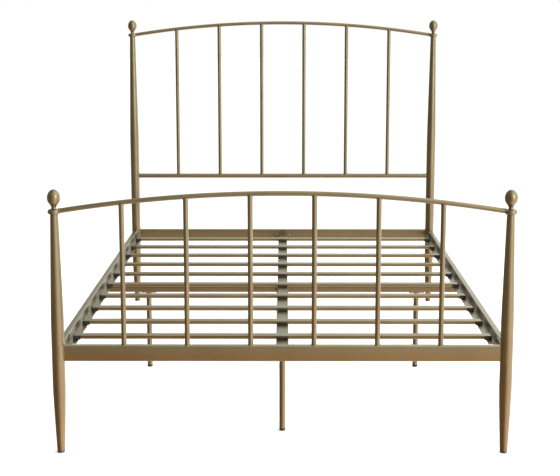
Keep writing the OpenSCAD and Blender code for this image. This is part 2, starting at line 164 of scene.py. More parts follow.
GOLD_DARK = (0.160, 0.112, 0.036)
GOLD_LIGHT = (0.205, 0.146, 0.050)
GOLD_FLAKE = (0.400, 0.315, 0.150)
GOLD_SPECK = (0.100, 0.064, 0.026)
# dark brown of the painted shade and darkening
SHADE_AND_DARKENING_BROWN = (0.045, 0.030, 0.015)
PLASTIC_BLACK = (0.018, 0.016, 0.015)
PLASTIC_SCUFFED = (0.045, 0.041, 0.038)
ZINC_COOL = (0.24, 0.245, 0.26)
ZINC_YELLOWED = (0.32, 0.30, 0.25)
# dark colour of the painted shade in the zinc's corners
ZINC_SHADE_DARK = (0.10, 0.10, 0.10)

GOLD_METALLIC = 0.90
GOLD_ROUGH_SPREAD = 0.05
GOLD_COAT_IOR = 1.7
GOLD_COAT_ROUGH = 0.28
FLAKE_SHARE = 0.16
SPECK_SHARE = 0.16
PLASTIC_ROUGH = (0.42, 0.62)
ZINC_ROUGH = (0.30, 0.48)

# What most of a noise lies between
NOISE_SPAN = (0.3, 0.7)

# Shares of painted shade, darkening and wear, and how far along the piece they reach
# share of painted shade in the gold coat's corners and joints
GOLD_CORNER_SHADE = 0.35
# share of painted shade in the zinc's corners
ZINC_CORNER_SHADE = 0.6
# darker towards the posts' feet
POST_FOOT_DARKENING = 0.35
POST_FOOT_REACH = 0.030
# painted shade at the collars' joints, and the share of the bead's middle left unshaded
COLLAR_PAINTED_SHADE = 0.3
COLLAR_UNSHADED = 0.6
# painted dark reflection on the finials' crowns
CROWN_PAINTED_SHADE = 0.5
CROWN_REACH = 0.010
CORNER_WEAR = 0.5

# ---------------------------------------------------------------- studio

# The floor fades, between two distances from the middle of the bed, into a white glow
FLOOR_HALF = 30.0
FLOOR_FADE = (1.4, 4.5)
FLOOR_GLOW = 1.1

# The surround; a band is the stretch of the direction's x (side) or z over which the light changes
SIDE_BAND = (-0.5, 0.65)
SIDE_LIGHT = (0.34, 2.0)
LEFT_TINT = (1.0, 0.89, 0.75)
HORIZON_BAND = (-0.22, -0.06)
HORIZON_DIM = 0.72
HORIZON_TINT = (0.92, 1.0, 0.93)
HORIZON_TINT_SHARE = 0.7
CEILING_BAND = (0.15, 0.75)
CEILING_GAIN = 1.5
WARM_LIGHT = (1.0, 0.53, 0.26)
WARM_TOP_BAND = (-0.33, -0.20)
WARM_BOTTOM_BAND = (-0.80, -0.50)
WARM_SIDE_BAND = (-0.1, 0.7)
WARM_RIGHT_SHARE = 0.4

# Lights, with their sizes in metres and their power in watts
KEY_LIGHT = {"place": (3.6, -4.3, 1.9), "target": (0, 0, 0.7), "width": 1.8, "height": 2.6, "watts": 80}
OVERHEAD_LIGHT = {"place": (0.6, 0.2, 5.0), "target": (0, 0, 0), "width": 5.0, "height": 5.0, "watts": 300}

# Camera; lens and sensor are in millimetres, and angles in degrees
CAMERA_SENSOR = 36
CAMERA_LENS = 74.26
CAMERA_SHIFT = -0.08
CAMERA_PLACE = (0.0038, -4.4561, 1.3792)
CAMERA_DOWN = 8.96
CAMERA_TURN = 0.18
CAMERA_FAR = 200

# ---------------------------------------------------------------- names and axes

PANELS = ("headboard", "footboard")
SIDES = ("left", "right")
SPINDLES = range(1, 7)
FEET = ("front", "middle", "rear", "left", "right")
X, Y, Z = Vector((1, 0, 0)), Vector((0, 1, 0)), Vector((0, 0, 1))


# ---------------------------------------------------------------- places from the frame

def centre(node):
    low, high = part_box(node)
    return (low + high) / 2


def size(node):
    low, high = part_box(node)
    return high - low


def bottom(node):
    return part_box(node)[0].z


def top(node):
    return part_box(node)[1].z


def spaced(low, high, steps):
    """steps + 1 values at even spaces from low to high."""
    return [low + (high - low) * k / steps for k in range(steps + 1)]


HALF_X = centre("headboard_post_right").x
HALF_Y = centre("headboard_post_right").y
POST_R = size("headboard_post_right").x / 2
SADDLE_R = POST_R + SADDLE
SPINDLE_R = size("headboard_spindle_1").x / 2
CROSS_TUBE_R = size("headboard_cross_tube").y / 2
CROSS_TUBE_Z = centre("headboard_cross_tube").z
LEG_R = size("leveling_foot_front").x / 2
RAIL_LOW, RAIL_TOP = bottom("side_rail_left"), top("side_rail_left")
RAIL_THICK = size("side_rail_left").x
DECK_Z = top("slat_ledge_left")
ARCH_RADIUS = (HALF_X ** 2 + ARCH_RISE ** 2) / (2 * ARCH_RISE)
SLAT_REACH = (size("slats").y - SLAT_WIDTH) / 2
SLAT_ROWS = spaced(-SLAT_REACH, SLAT_REACH, SLAT_COUNT - 1)


def panel_y(panel):
    return centre(f"{panel}_post_left").y


def collar_z(panel):
    return centre(f"{panel}_collar_left").z


def arch_z(panel, x):
    """Height of the arch rail's centre line at x."""
    return collar_z(panel) + ARCH_RISE - ARCH_RADIUS + math.sqrt(ARCH_RADIUS ** 2 - x ** 2)


def facing(place, direction):
    """Matrix that puts local +Z along direction at place."""
    return Matrix.Translation(place) @ Vector(direction).to_track_quat("Z", "Y").to_matrix().to_4x4()


# ---------------------------------------------------------------- materials

def shader(name):
    """A new node material: the material, its tree, its Principled shader and object coordinates."""
    material = bpy.data.materials.new(name)
    material.use_nodes = True
    tree = material.node_tree
    coords = tree.nodes.new("ShaderNodeTexCoord").outputs["Object"]
    return material, tree, tree.nodes["Principled BSDF"], coords


def noise(tree, coords, scale, detail):
    """Cloudy noise about 0.5, with scale clouds to the metre."""
    node = tree.nodes.new("ShaderNodeTexNoise")
    node.inputs["Scale"].default_value = scale
    node.inputs["Detail"].default_value = detail
    tree.links.new(coords, node.inputs["Vector"])
    return node.outputs["Fac"]


def spread(tree, value, low, high, to_low, to_high, smooth=False):
    """value, taken from low..high to to_low..to_high and held within it."""
    node = tree.nodes.new("ShaderNodeMapRange")
    node.interpolation_type = "SMOOTHSTEP" if smooth else "LINEAR"
    sockets = ("From Min", "From Max", "To Min", "To Max")
    for socket, number in zip(sockets, (low, high, to_low, to_high)):
        node.inputs[socket].default_value = number
    tree.links.new(value, node.inputs["Value"])
    return node.outputs["Result"]


def multiply(tree, first, second):
    node = tree.nodes.new("ShaderNodeMath")
    node.operation = "MULTIPLY"
    tree.links.new(first, node.inputs[0])
    tree.links.new(second, node.inputs[1])
    return node.outputs["Value"]


def mix(tree, factor, first, second):
    """Mixes two colours; each is an output socket or a tuple."""
    node = tree.nodes.new("ShaderNodeMix")
    node.data_type = "RGBA"
    tree.links.new(factor, node.inputs["Factor"])
    for socket, value in ((node.inputs[6], first), (node.inputs[7], second)):
        if isinstance(value, tuple):
            socket.default_value = (*value, 1)
        else:
            tree.links.new(value, socket)
    return node.outputs[2]


def bump(tree, principled, heights):
    """Chains bumps; heights is a list of (socket, depth in metres, strength)."""
    normal = None
    for height, depth, strength in heights:
        node = tree.nodes.new("ShaderNodeBump")
        node.inputs["Distance"].default_value = depth
        node.inputs["Strength"].default_value = strength
        tree.links.new(height, node.inputs["Height"])
        if normal is not None:
            tree.links.new(normal, node.inputs["Normal"])
        normal = node.outputs["Normal"]
    tree.links.new(normal, principled.inputs["Normal"])


def attribute(tree, name):
    """A float layer of the mesh, 0 where the mesh has none."""
    node = tree.nodes.new("ShaderNodeAttribute")
    node.attribute_name = name
    return node.outputs["Fac"]


def corner_shade_share(tree, reach, low, high, most):
    """Share of painted shade: 0 in the open, rising to most in corners and joints that close in."""
    node = tree.nodes.new("ShaderNodeAmbientOcclusion")
    node.samples = 6
    node.inputs["Distance"].default_value = reach
    return spread(tree, node.outputs["AO"], high, low, 0, most)


def gold_coat(name, roughness, mottle):
    """Satin antique gold: soft clouding, metal flake, dark specks, painted shade in corners and joints,
    painted shade and darkening from the mesh's layer, and wear on edges.
    """
    material, tree, principled, coords = shader(name)
    cloud = spread(tree, noise(tree, coords, scale=7, detail=4), *NOISE_SPAN, 0, 1)
    colour = mix(tree, cloud, GOLD_DARK, GOLD_LIGHT)
    flake = spread(tree, noise(tree, coords, scale=1400, detail=1), 0.45, 0.75, 0, FLAKE_SHARE)
    colour = mix(tree, flake, colour, GOLD_FLAKE)
    speck = spread(tree, noise(tree, coords, scale=420, detail=3), 0.60, 0.75, 0, SPECK_SHARE)
    colour = mix(tree, speck, colour, GOLD_SPECK)
    rub = spread(tree, noise(tree, coords, scale=90, detail=5), 0.50, 0.72, 0, mottle)
    colour = mix(tree, rub, colour, GOLD_SPECK)
    # painted shade: darker where ambient occlusion finds corners and joints
    corner_shade = corner_shade_share(tree, 0.010, 0.35, 0.95, GOLD_CORNER_SHADE)
    colour = mix(tree, corner_shade, colour, SHADE_AND_DARKENING_BROWN)
    # painted shade and darkening from the mesh's layer: shade at the collars' joints, a dark reflection on
    # the finials' crowns, and darker towards the posts' feet
    colour = mix(tree, attribute(tree, "shade_and_darkening"), colour, SHADE_AND_DARKENING_BROWN)
    colour = mix(tree, attribute(tree, "wear"), colour, GOLD_FLAKE)
    tree.links.new(colour, principled.inputs["Base Color"])
    principled.inputs["Metallic"].default_value = GOLD_METALLIC
    principled.inputs["Coat Weight"].default_value = 1.0
    principled.inputs["Coat IOR"].default_value = GOLD_COAT_IOR
    principled.inputs["Coat Roughness"].default_value = GOLD_COAT_ROUGH
    grain = noise(tree, coords, scale=35, detail=3)
    smoothest, roughest = roughness - GOLD_ROUGH_SPREAD, roughness + GOLD_ROUGH_SPREAD
    rough = spread(tree, grain, *NOISE_SPAN, smoothest, roughest)
    tree.links.new(rough, principled.inputs["Roughness"])
    peel = (noise(tree, coords, scale=650, detail=2), 0.0001, 0.07)
    waviness = (noise(tree, coords, scale=60, detail=2), 0.0002, 0.03)
    bump(tree, principled, [peel, waviness])
    return material


def black_plastic():
    """Moulded plastic with a fine spark texture, slightly scuffed."""
    material, tree, principled, coords = shader("black_plastic")
    scuff = spread(tree, noise(tree, coords, scale=90, detail=4), 0.45, 0.75, 0, 1)
    tree.links.new(mix(tree, scuff, PLASTIC_BLACK, PLASTIC_SCUFFED), principled.inputs["Base Color"])
    rough = spread(tree, noise(tree, coords, scale=260, detail=2), *NOISE_SPAN, *PLASTIC_ROUGH)
    tree.links.new(rough, principled.inputs["Roughness"])
    spark = (noise(tree, coords, scale=1800, detail=1), 0.0001, 0.4)
    bump(tree, principled, [spark])
    return material


def zinc_plate():
    """Dull zinc plating: cool grey with a faint yellow tint in clouds, and painted shade in corners."""
    material, tree, principled, coords = shader("zinc_plate")
    tint = spread(tree, noise(tree, coords, scale=55, detail=3), 0.35, 0.65, 0, 1)
    colour = mix(tree, tint, ZINC_COOL, ZINC_YELLOWED)
    # painted shade: darker where ambient occlusion finds corners
    colour = mix(tree, corner_shade_share(tree, 0.004, 0.3, 0.9, ZINC_CORNER_SHADE), colour, ZINC_SHADE_DARK)
    tree.links.new(colour, principled.inputs["Base Color"])
    principled.inputs["Metallic"].default_value = 1.0
    rough = spread(tree, noise(tree, coords, scale=300, detail=3), *NOISE_SPAN, *ZINC_ROUGH)
    tree.links.new(rough, principled.inputs["Roughness"])
    grain = (noise(tree, coords, scale=900, detail=2), 0.0001, 0.25)
    bump(tree, principled, [grain])
    return material


COAT = gold_coat("gold_coat", roughness=0.34, mottle=0.15)
CAST = gold_coat("gold_cast", roughness=0.33, mottle=0.35)
PLASTIC = black_plastic()
ZINC = zinc_plate()
FINISH = {"frame_coat": COAT, "foot_plastic": PLASTIC, "deck_plastic": PLASTIC, "zinc_steel": ZINC}


# ---------------------------------------------------------------- mesh building

def marks(bm):
    """The two float layers that the gold coat reads: painted shade and darkening, and bright wear."""
    found = bm.verts.layers.float
    return found.get("shade_and_darkening") or found.new("shade_and_darkening"), found.get("wear") or found.new("wear")


def skin(bm, rings, closed_along=False):
    """Joins closed rings of vertices into a tube, with flat ends unless it closes on itself."""
    pairs = list(zip(rings, rings[1:]))
    if closed_along:
        pairs.append((rings[-1], rings[0]))
    for a, b in pairs:
        for i in range(len(a)):
            j = (i + 1) % len(a)
            bm.faces.new((a[i], a[j], b[j], b[i]))
    if not closed_along:
        bm.faces.new(list(reversed(rings[0])))
        bm.faces.new(rings[-1])


def lathe(bm, profile, at=Matrix(), sides=48, shade_and_darkening=None, shapes=None):
    """Turns profile, a list of (radius, height), round local Z of the matrix at. The argument after sides
    is a function that gives a ring's share of painted shade and darkening by its index. shapes gives a
    factor on the radius by a ring's index and its angle."""
    dark, _ = marks(bm)
    rings = []
    for k, (radius, height) in enumerate(profile):
        ring = []
        for i in range(sides):
            angle = 2 * math.pi * i / sides
            r = radius * shapes(k, angle) if shapes else radius
            vert = bm.verts.new(at @ Vector((r * math.cos(angle), r * math.sin(angle), height)))
            vert[dark] = shade_and_darkening(k) if shade_and_darkening else 0.0
            ring.append(vert)
        rings.append(ring)
    skin(bm, rings)


def sweep(bm, points, radius, reference, sides=BEAD_SIDES, closed=False, ripple=0.0, ripples=1):
    """A round tube along points that never run along reference. ripple makes its thickness beat,
    and then its open ends taper off, like a weld."""
    count = len(points)
    rings = []
    for k, point in enumerate(points):
        before = points[k - 1] if k or closed else point
        after = points[(k + 1) % count] if k + 1 < count or closed else point
        u = (after - before).cross(reference).normalized()
        v = (after - before).cross(u).normalized()
        r = radius * (1 + ripple * math.cos(2 * math.pi * ripples * k / count))
        if ripple and not closed:
            fullness = min(1, BEAD_TIP + min(k, count - 1 - k) / BEAD_TIP_RINGS)
            r *= math.sin(math.pi / 2 * fullness)
        ring = []
        for i in range(sides):
            angle = 2 * math.pi * i / sides
            ring.append(bm.verts.new(point + r * math.cos(angle) * u + r * math.sin(angle) * v))
        rings.append(ring)
    skin(bm, rings, closed_along=closed)


def rounded_outline(width, height, radius, steps=4):
    """Points of a rounded rectangle, counter-clockwise, each with whether it lies inside a corner."""
    points = []
    for sign_x, sign_y, start in ((1, 1, 0), (-1, 1, 90), (-1, -1, 180), (1, -1, 270)):
        for k in range(steps + 1):
            angle = math.radians(start + 90 * k / steps)
            x = sign_x * (width / 2 - radius) + radius * math.cos(angle)
            y = sign_y * (height / 2 - radius) + radius * math.sin(angle)
            points.append((x, y, 0 < k < steps))
    return points


def box_tube(bm, axis, middle, width, height, wall, reach, corner_r=RAIL_CORNER_R):
    """Rectangular tube with rounded corners along axis "x" or "y". width is across it and level. reach
    is half its length, or a function that gives that across the tube when the ends are cut to a curve."""
    _, worn = marks(bm)
    loops = []
    for inset in (0.0, wall):
        outline = rounded_outline(width - 2 * inset, height - 2 * inset, corner_r - inset)
        for end in (-1, 1):
            ring = []
            for across, up, corner in outline:
                along = end * (reach(across) if callable(reach) else reach)
                offset = Vector((along, across, up)) if axis == "x" else Vector((across, along, up))
                vert = bm.verts.new(middle + offset)
                vert[worn] = CORNER_WEAR if corner and inset == 0.0 else 0.0
                ring.append(vert)
            loops.append(ring)
    outer_start, outer_end, inner_start, inner_end = loops
    for i in range(len(outer_start)):
        j = (i + 1) % len(outer_start)
        bm.faces.new((outer_start[i], outer_start[j], outer_end[j], outer_end[i]))
        bm.faces.new((inner_start[j], inner_start[i], inner_end[i], inner_end[j]))
        bm.faces.new((outer_start[j], outer_start[i], inner_start[i], inner_start[j]))
        bm.faces.new((outer_end[i], outer_end[j], inner_end[j], inner_end[i]))


def prism(bm, outline, low, high):
    """Upright solid over an outline of (x, y) points."""
    skin(bm, [[bm.verts.new((x, y, z)) for x, y in outline] for z in (low, high)])


def rectangle(x0, x1, y0, y1):
    return [(x0, y0), (x1, y0), (x1, y1), (x0, y1)]


def hexagon(angle):
    """Radius of a hexagon at an angle, as a share of the radius of its corners."""
    return math.cos(math.pi / 6) / math.cos(angle % (math.pi / 3) - math.pi / 6)


def soften(piece, width, segments=2):
    """Rounds the hard edges and shades the flats flat."""
    bevel = piece.modifiers.new("edges", "BEVEL")
    bevel.width = width
    bevel.segments = segments
    bevel.limit_method = "ANGLE"
    bevel.angle_limit = SHARP_ANGLE
    bevel.use_clamp_overlap = True
    piece.modifiers.new("flats", "WEIGHTED_NORMAL").keep_sharp = True


def link(name, data):
    """A new object with this data, in the scene."""
    made = bpy.data.objects.new(name, data)
    bpy.context.scene.collection.objects.link(made)
    return made


def finish_piece(name, bm, material, replaced=(), body="frame"):
    """Makes the object, gives it its material and slot, and rides it on its body."""
    bmesh.ops.recalc_face_normals(bm, faces=bm.faces)
    mesh = bpy.data.meshes.new(name)
    bm.to_mesh(mesh)
    bm.free()
    mesh.polygons.foreach_set("use_smooth", [True] * len(mesh.polygons))
    mesh.set_sharp_from_angle(angle=SHARP_ANGLE)
    mesh.materials.append(material)
    piece = link(name, mesh)
    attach(piece, body)
    if replaced:
        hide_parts(*replaced)
    return piece


# ---------------------------------------------------------------- posts, collars and finials

def taper_r(t, power):
    """Radius of a post at a share t of its taper, from the tip to the full tube."""
    return POST_TIP_R + (POST_R - POST_TIP_R) * (1 - (1 - t) ** power)


def make_post(panel, side, steps=24):
    node = f"{panel}_post_{side}"
    low, high = bottom(node), top(node)
    profile = []
    for t in spaced(0, 1, steps):
        profile.append((taper_r(t, LOWER_POWER), low + t * (LOWER_TAPER_TOP - low)))
    for t in spaced(1, 0, steps):
        profile.append((taper_r(t, UPPER_POWER), high - t * UPPER_TAPER[panel]))

    # darker towards the foot, within a short reach of the post's lower end
    def shade_and_darkening(k):
        near_floor = max(0.0, 1 - (profile[k][1] - low) / POST_FOOT_REACH)
        return POST_FOOT_DARKENING * near_floor

    bm = bmesh.new()
    spot = centre(node)
    lathe(bm, profile, Matrix.Translation((spot.x, spot.y, 0)), TURNED_SIDES, shade_and_darkening)
    finish_piece(f"{node}_tube", bm, COAT, [node])


def make_collar(panel, side, steps=16):
    """Bead ring with a half-round edge, with painted shade where it meets post and finial."""
    node = f"{panel}_collar_{side}"
    half = size(node).z / 2
    core = size(node).x / 2 - half
    angles = spaced(-math.pi / 2, math.pi / 2, steps)
    profile = [(core + half * math.cos(a), half * math.sin(a)) for a in angles]

    # painted shade towards the bead's upper and lower edges, where post and finial meet it
    def shade_and_darkening(k):
        from_middle = abs(2 * k / steps - 1)
        return COLLAR_PAINTED_SHADE * max(0.0, (from_middle - COLLAR_UNSHADED) / (1 - COLLAR_UNSHADED))

    bm = bmesh.new()
    lathe(bm, profile, Matrix.Translation(centre(node)), TURNED_SIDES, shade_and_darkening)
    finish_piece(f"{node}_bead", bm, CAST, [node])


def finial_profile(radius, height, steps=28, cove_steps=6):
    """Radius and depth below the tip: half an ellipse, a swept-in waist, and a hollow flare."""
    neck_depth = height - NECK_COVE
    line = [(FINIAL_TIP_R, 0.0)]
    for k in range(1, steps + 1):
        angle = math.pi / 2 * k / steps
        line.append((radius * math.sin(angle), FINIAL_BELLY * (1 - math.cos(angle))))
    for k in range(1, steps + 1):
        t = k / steps
        waist = NECK_R + (radius - NECK_R) / 2 * (1 + math.cos(math.pi * t ** FINIAL_SWELL))
        line.append((waist, FINIAL_BELLY + t * (neck_depth - FINIAL_BELLY)))
    for k in range(1, cove_steps + 1):
        angle = math.pi / 2 * k / cove_steps
        flare = NECK_R + NECK_COVE * (1 - math.cos(angle))
        line.append((flare, neck_depth + NECK_COVE * math.sin(angle)))
    return line


def make_finial(panel, side):
    node = f"{panel}_finial_{side}"
    line = finial_profile(size(node).x / 2, size(node).z)

    # painted dark reflection: the crown is darker, as if mirroring a dark ceiling
    def shade_and_darkening(k):
        crown = max(0.0, 1 - line[k][1] / CROWN_REACH)
        return CROWN_PAINTED_SHADE * crown

    bm = bmesh.new()
    spot = centre(node)
    at = Matrix.Translation((spot.x, spot.y, top(node)))
    lathe(bm, [(radius, -depth) for radius, depth in line], at, TURNED_SIDES, shade_and_darkening)
    finish_piece(f"{node}_egg", bm, CAST, [node])


# ---------------------------------------------------------------- arches, spindles and rails

def make_arch(panel, steps=120):
    node = f"{panel}_arch_rail"
    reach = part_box(node)[1].x
    xs = spaced(-reach, reach, steps)
    points = [Vector((x, panel_y(panel), arch_z(panel, x))) for x in xs]
    bm = bmesh.new()
    sweep(bm, points, ARCH_TUBE_R, Y, TUBE_SIDES)
    finish_piece(f"{node}_tube", bm, COAT, [node])


def make_spindle(panel, i, steps=6):
    node = f"{panel}_spindle_{i}"
    profile = [(SPINDLE_R, z) for z in spaced(bottom(node), top(node), steps)]
    bm = bmesh.new()
    lathe(bm, profile, Matrix.Translation((centre(node).x, centre(node).y, 0)), TUBE_SIDES)
    finish_piece(f"{node}_tube", bm, COAT, [node])


def rail_reach(across):
    """Where the end of an end rail meets the round of its saddle plate."""
    return HALF_X - math.sqrt(SADDLE_R ** 2 - across ** 2)


def make_end_rail(panel):
    node = f"{panel}_bottom_rail"
    thick, height = size(node).y, size(node).z
    bm = bmesh.new()
    box_tube(bm, "x", centre(node), thick, height, RAIL_WALL, rail_reach)
    finish_piece(f"{node}_tube", bm, COAT, [node])


def make_side_rail(side):
    node = f"side_rail_{side}"
    thick, length, height = size(node)
    bm = bmesh.new()
    box_tube(bm, "y", centre(node), thick, height, RAIL_WALL, length / 2)
    finish_piece(f"{node}_tube", bm, COAT, [node])


def make_center_rail():
    """Rectangular tube with a plate across each end."""
    node = "center_rail"
    end = size(node).y / 2
    inner = end - PLATE
    half_plate = size(node).x / 2
    plate_top = top(node)
    plate_low = RAIL_LOW + RAIL_TOP - plate_top
    middle = Vector((0, 0, (RAIL_LOW + DECK_Z) / 2))
    bm = bmesh.new()
    box_tube(bm, "y", middle, CENTER_RAIL_WIDTH, DECK_Z - RAIL_LOW, RAIL_WALL, inner)
    for side in (-1, 1):
        edges = sorted((side * inner, side * end))
        prism(bm, rectangle(-half_plate, half_plate, *edges), plate_low, plate_top)
    soften(finish_piece(f"{node}_tube", bm, COAT, [node]), STEEL_EDGE)


def make_cross_bar(side):
    """Rectangular tube with a plate across each end, between the centre rail and a side rail."""
    node = f"cross_bar_{side}"
    low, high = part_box(node)
    reach = size(node).x / 2 - PLATE
    bm = bmesh.new()
    box_tube(bm, "x", centre(node), CROSS_BAR_WIDTH, size(node).z, RAIL_WALL, reach)
    for x in (low.x, high.x - PLATE):
        prism(bm, rectangle(x, x + PLATE, low.y, high.y), low.z, high.z)
    soften(finish_piece(f"{node}_tube", bm, COAT, [node]), STEEL_EDGE)


def make_ledge(side):
    """Flat bar with rounded edges."""
    node = f"slat_ledge_{side}"
    low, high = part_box(node)
    bm = bmesh.new()
    prism(bm, rectangle(low.x, high.x, low.y, high.y), low.z, high.z)
    soften(finish_piece(f"{node}_bar", bm, COAT, [node]), LEDGE_EDGE)


# ---------------------------------------------------------------- slats and their mouldings

def make_slats():
    """Rectangular tubes across the bed, at even spaces."""
    length, _, height = size("slats")
    bm = bmesh.new()
    for y in SLAT_ROWS:
        middle = Vector((0, y, centre("slats").z))
        box_tube(bm, "x", middle, SLAT_WIDTH, height, SLAT_WALL, length / 2, SLAT_CORNER_R)
    finish_piece("slat_tubes", bm, COAT, ["slats"])


def peg(bm, x, y, low):
    """Round peg with a chamfered tip, from low up into the moulding above the ledge."""
    profile = [(PEG_R - PEG_EDGE, low), (PEG_R, low + PEG_EDGE), (PEG_R, DECK_Z + CAP_WALL / 4)]
    lathe(bm, profile, Matrix.Translation((x, y, 0)), sides=24)


def make_end_caps(ribs=5):
    """Moulded trays that hold the slat ends: floor, U-shaped wall, grip ribs and a peg into the ledge."""
    low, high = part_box("slat_end_caps")
    half = SLAT_WIDTH / 2 + CAP_WALL
    rib_width, rib_depth = CAP_RIB
    bm = bmesh.new()
    for side in (-1, 1):
        outer, inner = side * high.x, side * (high.x - CAP_LENGTH)
        stop = side * (high.x - CAP_END)
        for y in SLAT_ROWS:
            prism(bm, rectangle(*sorted((outer, inner)), y - half, y + half), DECK_Z, DECK_Z + CAP_WALL)
            wall = [(inner, y - half), (outer, y - half), (outer, y + half), (inner, y + half)]
            wall += [(inner, y + half - CAP_WALL), (stop, y + half - CAP_WALL)]
            wall += [(stop, y - half + CAP_WALL), (inner, y - half + CAP_WALL)]
            prism(bm, wall, DECK_Z + CAP_WALL / 2, high.z)
            for k in range(ribs):
                rib_y = y + (k - (ribs - 1) / 2) * CAP_RIB_PITCH
                edges = sorted((outer, outer + side * rib_depth))
                rib = rectangle(*edges, rib_y - rib_width / 2, rib_y + rib_width / 2)
                prism(bm, rib, DECK_Z + rib_width, high.z - rib_width)
            peg(bm, side * (high.x - CAP_LENGTH / 3), y, low.z)
    piece = finish_piece("slat_cap_mouldings", bm, PLASTIC, ["slat_end_caps"])
    soften(piece, MOULDING_EDGE)


def make_center_clips(ribs=3):
    """Moulded clips that locate the slats on the centre rail: floor, two walls, gussets and a peg."""
    low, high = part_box("slat_center_clips")
    half = SLAT_WIDTH / 2 + CAP_WALL
    rib_width, rib_depth = CLIP_RIB
    bm = bmesh.new()
    for y in SLAT_ROWS:
        prism(bm, rectangle(low.x, high.x, y - half, y + half), DECK_Z, DECK_Z + CAP_WALL)
        for side in (-1, 1):
            edges = sorted((y + side * (half - CAP_WALL), y + side * half))
            prism(bm, rectangle(low.x, high.x, *edges), DECK_Z + CAP_WALL / 2, DECK_Z + CLIP_WALL_HEIGHT)
            for k in range(ribs):
                x = (k - (ribs - 1) / 2) * CLIP_RIB_PITCH
                edges = sorted((y + side * half, y + side * (half + rib_depth)))
                rib = rectangle(x - rib_width / 2, x + rib_width / 2, *edges)
                prism(bm, rib, DECK_Z, DECK_Z + CLIP_WALL_HEIGHT - rib_width)
        peg(bm, 0, y, low.z)
    piece = finish_piece("slat_clip_mouldings", bm, PLASTIC, ["slat_center_clips"])
    soften(piece, MOULDING_EDGE)


# ---------------------------------------------------------------- feet and bolts

def thread(bm, at, radius, low, high, sides=24):
    """Screw thread from low to high along local Z, with a plain core at both ends."""
    rows_per_turn = 4
    count = int((high - low) / THREAD_PITCH * rows_per_turn)
    profile = [(radius - THREAD_DEPTH, low)]
    for k in range(count + 1):
        profile.append((radius, low + (high - low) * (k + 0.5) / (count + 1)))
    profile.append((radius - THREAD_DEPTH, high))

    def helix(k, angle):
        if k == 0 or k == count + 2:
            return 1.0
        phase = (k / rows_per_turn - angle / (2 * math.pi)) % 1
        return 1 - THREAD_DEPTH / radius * abs(2 * phase - 1)

    lathe(bm, profile, at, sides, shapes=helix)


def make_leveling_foot(name, grips=20, steps=6):
    """Ribbed black pad with a rounded lower edge, moulded on a zinc screw."""
    node = f"leveling_foot_{name}"
    body = f"foot_{name}"
    spot = Matrix.Translation((centre(node).x, centre(node).y, bottom(node)))
    profile = []
    for a in spaced(0, math.pi / 2, steps):
        profile.append((LEG_R - FOOT_EDGE_R * (1 - math.sin(a)), FOOT_EDGE_R * (1 - math.cos(a))))
    grip_rings = (len(profile), len(profile) + 1)
    profile += [(LEG_R, FOOT_EDGE_R + GRIP_ABOVE_EDGE), (LEG_R, FOOT_PAD_HEIGHT - GRIP_BELOW_TOP)]
    profile += [(LEG_R, FOOT_PAD_HEIGHT - FOOT_TOP_EDGE), (LEG_R - FOOT_TOP_EDGE, FOOT_PAD_HEIGHT)]

    def grip(k, angle):
        return 1 - GRIP_DEPTH * (1 + math.cos(grips * angle)) if k in grip_rings else 1.0

    bm = bmesh.new()
    lathe(bm, profile, spot, sides=grips * 6, shapes=grip)
    finish_piece(f"{node}_pad", bm, PLASTIC, [node], body)
    bm = bmesh.new()
    thread(bm, spot, BOLT_SHANK_R, FOOT_PAD_HEIGHT - SCREW_SUNK, size(node).z)
    finish_piece(f"{node}_screw", bm, ZINC, (), body)


def make_rail_bolts(rings=8):
    """Dome-headed bolts with a hex socket outside each side rail, their threaded ends inside."""
    outside = HALF_X + RAIL_THICK / 2
    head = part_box("rail_bolts")[1].x - outside
    shank = outside - min(abs(v.co.x) for v in nodes["rail_bolts"].data.vertices)
    dome_r = (BOLT_HEAD_R ** 2 + head ** 2) / (2 * head)
    rim = BOLT_RIM * head
    profile = []
    for height in spaced(0, BOLT_DOME * head, rings):
        profile.append((math.sqrt(dome_r ** 2 - (height - head + dome_r) ** 2), height))
    profile.append((BOLT_RIM_FLARE * BOLT_SOCKET_R, rim))
    socket_rings = (len(profile), len(profile) + 1)
    profile += [(BOLT_SOCKET_R, rim - BOLT_RIM_STEP), (BOLT_SOCKET_R, head - BOLT_SOCKET_DEPTH)]

    def socket(k, angle):
        return hexagon(angle) if k in socket_rings else 1.0

    bm = bmesh.new()
    for side in (-1, 1):
        for end in (-1, 1):
            for offset in RAIL_BOLT_OFFSETS:
                place = Vector((side * outside, end * (HALF_Y - offset), centre("rail_bolts").z))
                at = facing(place, (side, 0, 0))
                lathe(bm, profile, at, shapes=socket)
                thread(bm, at, BOLT_SHANK_R, -shank, BOLT_SUNK)
    finish_piece("rail_bolt_set", bm, ZINC, ["rail_bolts"])


# ---------------------------------------------------------------- weld beads

def ring_angles(count=40):
    return [2 * math.pi * k / count for k in range(count)]


def bead(bm, points, reference, closed=True, radius=BEAD_R):
    """Weld bead with the ripple of its pools."""
    length = sum((b - a).length for a, b in zip(points, points[1:]))
    pools = max(1, round(length / BEAD_POOL))
    sweep(bm, points, radius, reference, closed=closed, ripple=BEAD_RIPPLE, ripples=pools)


